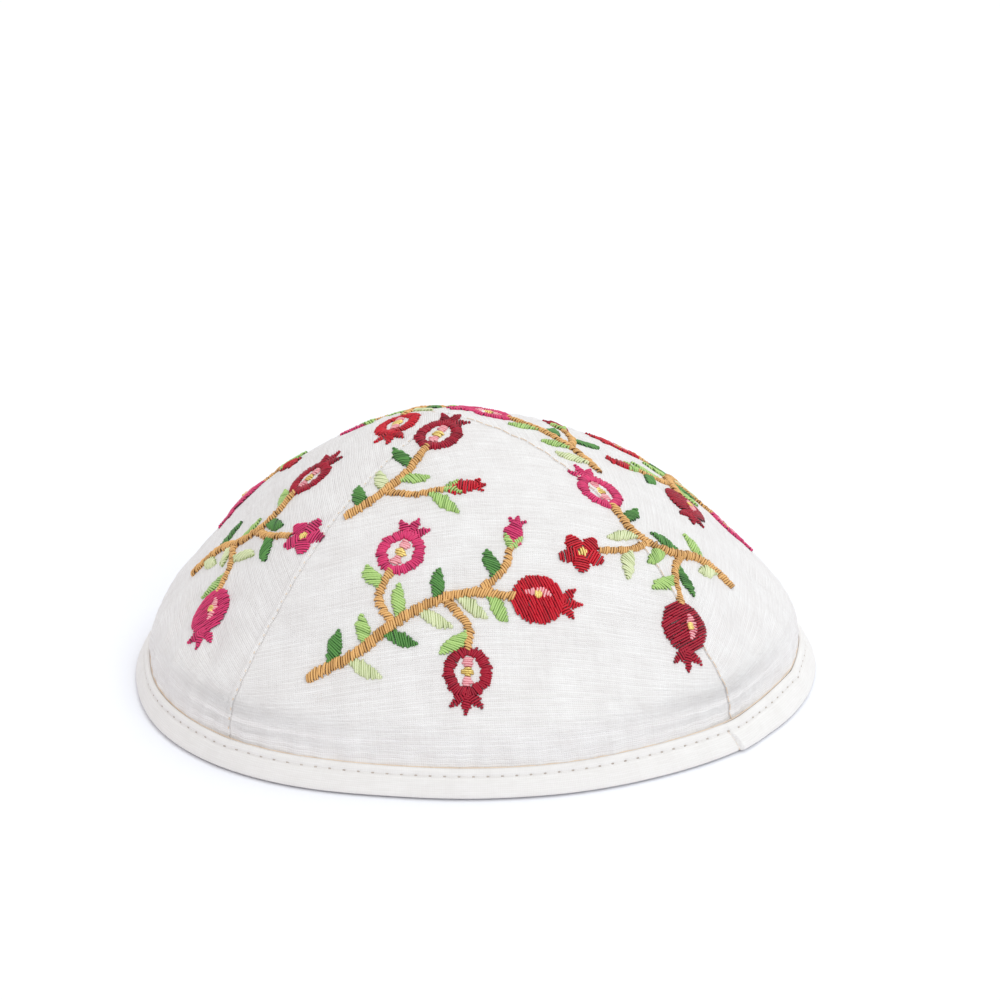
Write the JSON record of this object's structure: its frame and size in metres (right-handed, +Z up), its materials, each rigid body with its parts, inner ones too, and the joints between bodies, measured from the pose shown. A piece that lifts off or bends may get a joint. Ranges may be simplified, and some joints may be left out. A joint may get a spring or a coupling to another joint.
{
  "type": "kippah",
  "caption": "Shallow domed cloth skullcap sewn from curved triangular panels, its rim bound with a folded strip, with an embroidered silk face and a hollow underside.",
  "frame": {"origin": "middle of the footprint, on the surface that the rim stands on", "axes": "+Z up through the crown, -Y towards the front of the picture, +X to its right"},
  "size_m": [0.1696, 0.1696, 0.0653],
  "materials": {
    "silk": "ivory raw silk, matt with a faint sheen, slubbed plain weave",
    "cotton": "ivory cotton binding, smooth and matt",
    "thread": "lustrous rayon embroidery thread in several colours"
  },
  "bodies": {
    "root": {"panel_front": "silk", "panel_right": "silk", "panel_back": "silk", "panel_left": "silk", "rim_band": "cotton"}
  },
  "joints": []
}
